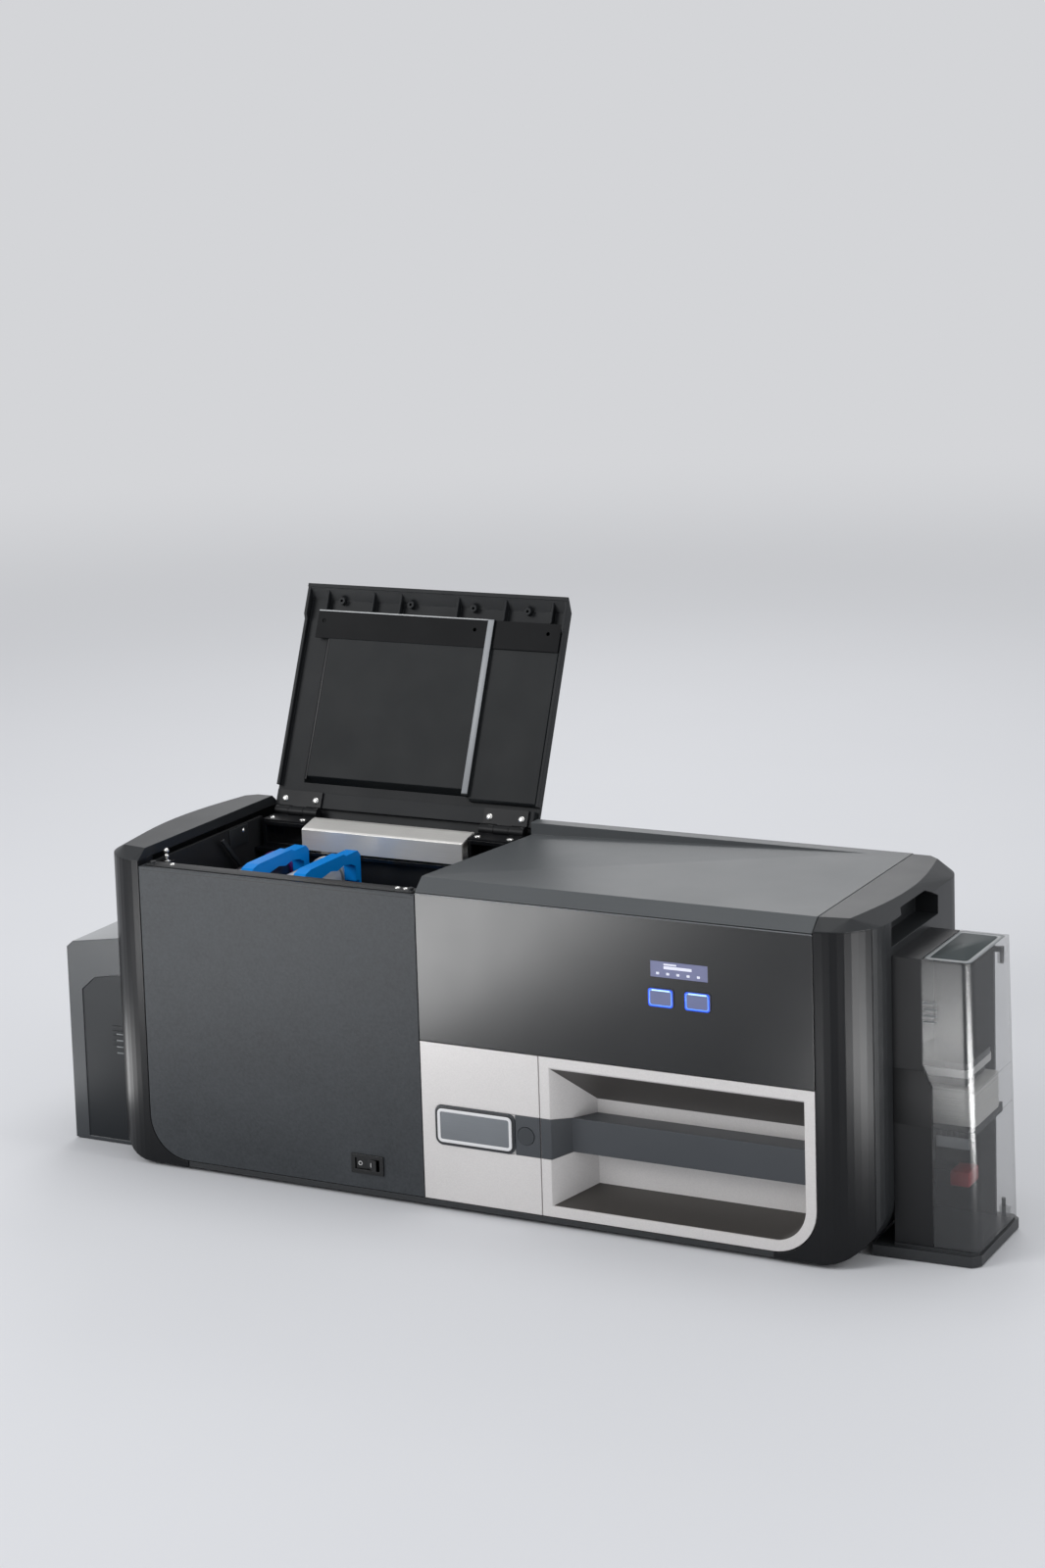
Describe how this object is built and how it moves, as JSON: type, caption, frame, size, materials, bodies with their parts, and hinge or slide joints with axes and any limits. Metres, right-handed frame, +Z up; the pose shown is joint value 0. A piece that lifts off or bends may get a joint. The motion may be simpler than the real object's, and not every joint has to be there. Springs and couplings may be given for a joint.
{
  "type": "id card printer",
  "caption": "Desktop card printer with an in-line laminator under a hinged lid, a hinged printer cover, a pull-out drawer, and card hoppers at both ends.",
  "frame": {"origin": "centre of the overall footprint on the table, with the laminator lid open", "axes": "+X to the right along the machine, +Y to the rear, +Z up"},
  "size_m": [0.763, 0.2788, 0.4222],
  "materials": {
    "pan_steel": "powder coat",
    "foot_rubber": "matt",
    "zinc_steel": "zinc plated sheet",
    "dark_casing": "fine moulded texture, satin",
    "pillar_gloss": "polished dark grey",
    "slate_panel": "fine moulded texture",
    "black_gloss": "piano gloss",
    "silver_paint": "fine metallic paint, satin",
    "badge_metal": "satin",
    "trim_grey": "satin",
    "black_inner": "matt",
    "shelf_gloss": "gloss",
    "rail_steel": "brushed along its length",
    "hinge_black": "black passivated",
    "bright_steel": "bright screw head",
    "display": "lit display behind a clear window",
    "switch_black": "gloss",
    "card_white": "card",
    "smoke_dark": "smoke tinted, dark",
    "head_alloy": "machined",
    "motor_can": "zinc plated",
    "belt_rubber": "moulded",
    "ribbon_white": "moulded",
    "liner_dark": "moulded, satin",
    "strip_clear": "tinted strip",
    "cover_grey": "fine moulded texture, satin",
    "band_slate": "satin",
    "lock_zinc": "dark zinc",
    "button_lens": "translucent lens with a blue rim",
    "smoke_clear": "smoke tinted, clear",
    "weight_white": "moulded",
    "blue_plastic": "moulded, semi gloss",
    "film": "wound clear laminate film",
    "silicone_red": "silicone sleeve on steel",
    "roller_rubber": "ground rubber on steel",
    "ribbon_dye": "wound dye ribbon"
  },
  "bodies": {
    "housing": {"base_pan": "pan_steel", "rubber_feet": "foot_rubber", "chassis_deck": "zinc_steel", "left_end_cap": "dark_casing", "right_end_cap": "dark_casing", "left_pillar": "pillar_gloss", "right_pillar": "pillar_gloss", "laminator_front_panel": "slate_panel", "gloss_front_panel": "black_gloss", "silver_side_panel": "silver_paint", "badge_plate": "badge_metal", "front_trim": "trim_grey", "rear_panel": "dark_casing", "rear_connectors": "black_inner", "laminator_bay": "black_inner", "printer_bay": "black_inner", "bay_front_lip": "trim_grey", "rear_shelf": "shelf_gloss", "rear_rail": "rail_steel", "lower_hinge_leaves": "hinge_black", "body_screws": "bright_steel", "lcd_window": "display", "rocker_bezel": "switch_black", "drawer_runners": "zinc_steel", "input_hopper_frame": "dark_casing", "input_hopper_base": "trim_grey", "card_stack": "card_white", "output_hopper": "trim_grey", "output_hopper_window": "smoke_dark", "printhead": "head_alloy", "drive_motor": "motor_can", "drive_belt": "belt_rubber", "ribbon_frame": "ribbon_white"},
    "laminator_lid": {"laminator_lid": "dark_casing", "lid_liner": "liner_dark", "lid_guard_strip": "strip_clear", "upper_hinge_leaves": "hinge_black", "lid_screws": "bright_steel"},
    "printer_cover": {"printer_lid": "cover_grey", "printer_lid_liner": "black_inner"},
    "drawer": {"drawer_front": "silver_paint", "drawer_bar": "band_slate", "drawer_box": "trim_grey"},
    "lock": {"lock_plug": "lock_zinc"},
    "left_button": {"left_button": "button_lens"},
    "right_button": {"right_button": "button_lens"},
    "power_rocker": {"power_rocker": "switch_black"},
    "hopper_door": {"hopper_door": "smoke_clear"},
    "card_weight": {"card_weight": "weight_white"},
    "left_cartridge": {"left_cartridge": "blue_plastic"},
    "right_cartridge": {"right_cartridge": "blue_plastic"},
    "left_film_roll": {"left_film_roll": "film"},
    "right_film_roll": {"right_film_roll": "film"},
    "heat_roller": {"heat_roller": "silicone_red"},
    "pressure_roller": {"pressure_roller": "roller_rubber"},
    "platen_roller": {"platen_roller": "roller_rubber"},
    "motor_pulley": {"motor_pulley": "head_alloy"},
    "ribbon_supply_spool": {"ribbon_supply_spool": "ribbon_dye"},
    "ribbon_takeup_spool": {"ribbon_takeup_spool": "ribbon_dye"}
  },
  "joints": [
    {"name": "laminator_lid_hinge", "type": "hinge", "parent": "housing", "child": "laminator_lid", "pos_m": [-0.162, 0.058, 0.2435], "axis": [-1, 0, 0], "range_deg": [-113, 0]},
    {"name": "printer_cover_hinge", "type": "hinge", "parent": "housing", "child": "printer_cover", "pos_m": [0.12, 0.064, 0.246], "axis": [-1, 0, 0], "range_deg": [0, 95]},
    {"name": "drawer_slide", "type": "slide", "parent": "housing", "child": "drawer", "axis": [0, -1, 0], "range_m": [0, 0.11]},
    {"name": "lock_turn", "type": "hinge", "parent": "housing", "child": "lock", "pos_m": [0.0485, -0.137, 0.0672], "axis": [0, 1, 0], "range_deg": [0, 90]},
    {"name": "left_button_press", "type": "slide", "parent": "housing", "child": "left_button", "axis": [0, 1, 0], "range_m": [0, 0.001], "stiffness_N_per_m": 400, "springref_m": -0.0005},
    {"name": "right_button_press", "type": "slide", "parent": "housing", "child": "right_button", "axis": [0, 1, 0], "range_m": [0, 0.001], "stiffness_N_per_m": 400, "springref_m": -0.0005},
    {"name": "power_rocker_tilt", "type": "hinge", "parent": "housing", "child": "power_rocker", "pos_m": [-0.0878, -0.132, 0.0272], "axis": [0, 0, 1], "range_deg": [0, 16]},
    {"name": "hopper_door_hinge", "type": "hinge", "parent": "housing", "child": "hopper_door", "pos_m": [0.3748, -0.0152, 0.1], "axis": [0, 0, 1], "range_deg": [0, 100]},
    {"name": "card_weight_lift", "type": "slide", "parent": "housing", "child": "card_weight", "axis": [0, 0, 1], "range_m": [0, 0.07]},
    {"name": "left_cartridge_lift", "type": "slide", "parent": "housing", "child": "left_cartridge", "axis": [0, 0, 1], "range_m": [0, 0.13]},
    {"name": "right_cartridge_lift", "type": "slide", "parent": "housing", "child": "right_cartridge", "axis": [0, 0, 1], "range_m": [0, 0.13]},
    {"name": "left_film_turn", "type": "hinge", "parent": "left_cartridge", "child": "left_film_roll", "pos_m": [-0.244, -0.043, 0.208], "axis": [0, 1, 0], "continuous": true},
    {"name": "right_film_turn", "type": "hinge", "parent": "right_cartridge", "child": "right_film_roll", "pos_m": [-0.196, -0.043, 0.208], "axis": [0, 1, 0], "continuous": true},
    {"name": "heat_roller_turn", "type": "hinge", "parent": "housing", "child": "heat_roller", "pos_m": [-0.101, -0.05, 0.1094], "axis": [0, 1, 0], "continuous": true},
    {"name": "pressure_roller_turn", "type": "hinge", "parent": "housing", "child": "pressure_roller", "pos_m": [-0.101, -0.05, 0.092], "axis": [0, 1, 0], "continuous": true},
    {"name": "platen_turn", "type": "hinge", "parent": "housing", "child": "platen_roller", "pos_m": [0.111, -0.05, 0.091], "axis": [0, 1, 0], "continuous": true},
    {"name": "motor_pulley_turn", "type": "hinge", "parent": "housing", "child": "motor_pulley", "pos_m": [0.173, -0.05, 0.105], "axis": [0, 1, 0], "continuous": true},
    {"name": "ribbon_supply_turn", "type": "hinge", "parent": "housing", "child": "ribbon_supply_spool", "pos_m": [0.156, -0.05, 0.151], "axis": [0, 1, 0], "continuous": true},
    {"name": "ribbon_takeup_turn", "type": "hinge", "parent": "housing", "child": "ribbon_takeup_spool", "pos_m": [0.066, -0.05, 0.151], "axis": [0, 1, 0], "continuous": true}
  ],
  "couplings": [
    {"joint": "pressure_roller_turn", "follows": "heat_roller_turn", "ratio": -1.4286},
    {"joint": "motor_pulley_turn", "follows": "platen_turn", "ratio": 1.3333}
  ]
}
